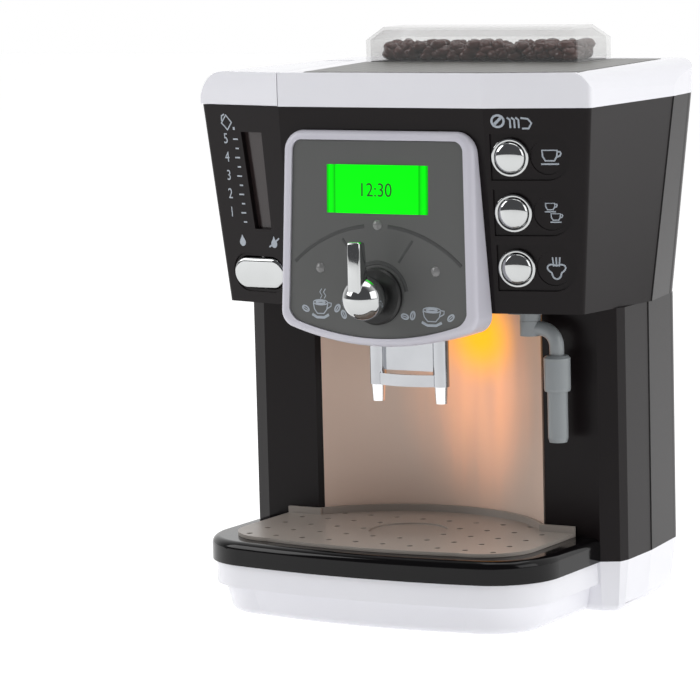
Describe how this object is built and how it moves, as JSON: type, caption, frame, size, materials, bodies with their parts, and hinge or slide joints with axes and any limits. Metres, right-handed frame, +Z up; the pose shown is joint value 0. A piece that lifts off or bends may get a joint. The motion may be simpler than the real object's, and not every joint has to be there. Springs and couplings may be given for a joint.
{
  "type": "toy coffee maker",
  "caption": "Toy automatic coffee maker: white hinged-lid top, dark body, grey pod with knob and screen, chrome buttons and spout, steam wand, lit round bay, slide-out drip tray.",
  "frame": {"origin": "on the underside, halfway between the front of the drip tray and the back of the top cover, in the left-right centre plane", "axes": "+Z up, -Y towards the front where the cup stands, +X to the right as seen from the front"},
  "size_m": [0.2068, 0.1774, 0.2699],
  "materials": {
    "dark_body": "satin brown-black moulded plastic",
    "white_shell": "glossy cool white moulded plastic",
    "frosted": "frosted beige plastic lit from behind",
    "bezel": "light grey-lilac satin plastic",
    "panel": "mid grey satin plastic with printed signs",
    "chrome": "bright plated plastic",
    "ring_black": "black satin plastic",
    "screen": "clear window over a lit green screen",
    "lens": "smoky domed lens",
    "smoke": "smoked transparent plastic",
    "clear": "smoky clear plastic",
    "beans": "dark red-brown moulded beans",
    "plate_grey": "dark olive grey plastic with dimples",
    "grate_grey": "warm grey satin plastic",
    "wand_grey": "soft grey plastic",
    "black_gloss": "glossy black plastic",
    "board": "green circuit board",
    "part_black": "black component plastic",
    "cell": "plain sleeved cells",
    "steel": "zinc plated steel",
    "brass": "plated contact strip",
    "lamp": "amber lamp",
    "inner_grey": "plain grey inner moulding"
  },
  "bodies": {
    "machine": {"base_shell": "white_shell", "base_plate": "inner_grey", "base_screws": "steel", "column_shell": "dark_body", "light_panel": "frosted", "front_housing": "dark_body", "rear_shell": "dark_body", "rear_screws": "steel", "battery_box": "part_black", "batteries": "cell", "battery_contacts": "brass", "battery_door": "dark_body", "battery_door_screw": "steel", "speaker": "part_black", "top_cover": "white_shell", "lid_hinge_pin": "steel", "water_tank": "clear", "cup_plate": "plate_grey", "bean_hopper": "clear", "bean_tray": "part_black", "bean_load": "beans", "panel_bezel": "bezel", "control_panel": "panel", "lcd_window": "screen", "lcd_module": "part_black", "indicator_left": "lens", "indicator_top": "lens", "indicator_right": "lens", "knob_ring": "ring_black", "selector_switch": "part_black", "collar_cup": "chrome", "collar_two_cups": "chrome", "collar_steam": "chrome", "switch_board": "board", "tact_switches": "part_black", "rocker_pin": "steel", "gauge_window": "smoke", "spout_body": "chrome", "nozzle_left": "chrome", "nozzle_right": "chrome", "wand_mount": "wand_grey", "lamp_board": "board", "lamp": "lamp", "circuit_board": "board", "pump": "inner_grey"},
    "knob": {"selector_knob": "chrome", "knob_shaft": "part_black"},
    "cup_button": {"button_cup": "chrome"},
    "two_cups_button": {"button_two_cups": "chrome"},
    "steam_button": {"button_steam": "chrome"},
    "rocker": {"rocker_switch": "chrome"},
    "lid": {"tank_lid": "white_shell"},
    "wand": {"wand_arm": "wand_grey", "wand_collar": "wand_grey", "wand_tube": "wand_grey"},
    "tray": {"drip_tray": "black_gloss"},
    "grate": {"drip_grate": "grate_grey"}
  },
  "joints": [
    {"name": "knob_turn", "type": "hinge", "parent": "machine", "child": "knob", "pos_m": [0, -0.05558, 0.15029], "axis": [0, -0.9992, 0.039], "range_deg": [-68, 68]},
    {"name": "cup_press", "type": "slide", "parent": "machine", "child": "cup_button", "axis": [-0.2105, 0.9732, 0.0927], "range_m": [0, 0.0025], "stiffness_N_per_m": 400, "springref_m": -0.0008},
    {"name": "two_cups_press", "type": "slide", "parent": "machine", "child": "two_cups_button", "axis": [-0.2105, 0.9732, 0.0927], "range_m": [0, 0.0025], "stiffness_N_per_m": 400, "springref_m": -0.0008},
    {"name": "steam_press", "type": "slide", "parent": "machine", "child": "steam_button", "axis": [-0.2105, 0.9732, 0.0927], "range_m": [0, 0.0025], "stiffness_N_per_m": 400, "springref_m": -0.0008},
    {"name": "rocker_tilt", "type": "hinge", "parent": "machine", "child": "rocker", "pos_m": [-0.07288, -0.03434, 0.15751], "axis": [0.0196, 0.0906, -0.9957], "range_deg": [0, 12]},
    {"name": "lid_swing", "type": "hinge", "parent": "machine", "child": "lid", "pos_m": [-0.081, 0.0533, 0.2503], "axis": [-1, 0, 0], "range_deg": [0, 80]},
    {"name": "wand_swing", "type": "hinge", "parent": "machine", "child": "wand", "pos_m": [0.0618, -0.0212, 0.1376], "axis": [0, 0, 1], "range_deg": [-35, 20]},
    {"name": "tray_slide", "type": "slide", "parent": "machine", "child": "tray", "axis": [0, -1, 0], "range_m": [0, 0.08]},
    {"name": "grate_lift", "type": "slide", "parent": "tray", "child": "grate", "axis": [0, 0, 1], "range_m": [0, 0.04]}
  ]
}
